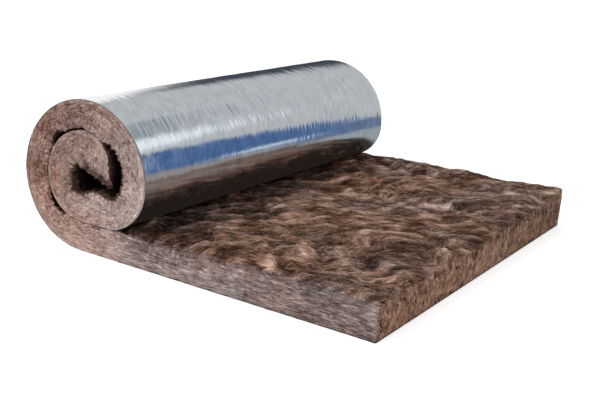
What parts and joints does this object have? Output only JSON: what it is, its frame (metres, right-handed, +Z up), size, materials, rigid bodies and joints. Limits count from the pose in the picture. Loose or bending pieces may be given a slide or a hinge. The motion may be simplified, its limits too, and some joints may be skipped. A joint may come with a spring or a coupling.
{
  "type": "foil-faced insulation roll",
  "caption": "Mineral wool insulation blanket with foil on its outer face, wound into a roll that sits on its own pulled-out flap.",
  "frame": {"origin": "on the floor, under the middle of the box that the roll and its flap fill", "axes": "+X along the flap from the roll towards the cut end, +Y along the roll, +Z up"},
  "size_m": [0.971, 1.2, 0.362],
  "materials": {
    "mineral_wool": "matt fibrous brown wool",
    "aluminium_foil": "bright finely creased foil"
  },
  "bodies": {
    "root": {"wool_blanket": "mineral_wool", "foil_facing": "aluminium_foil"}
  },
  "joints": []
}
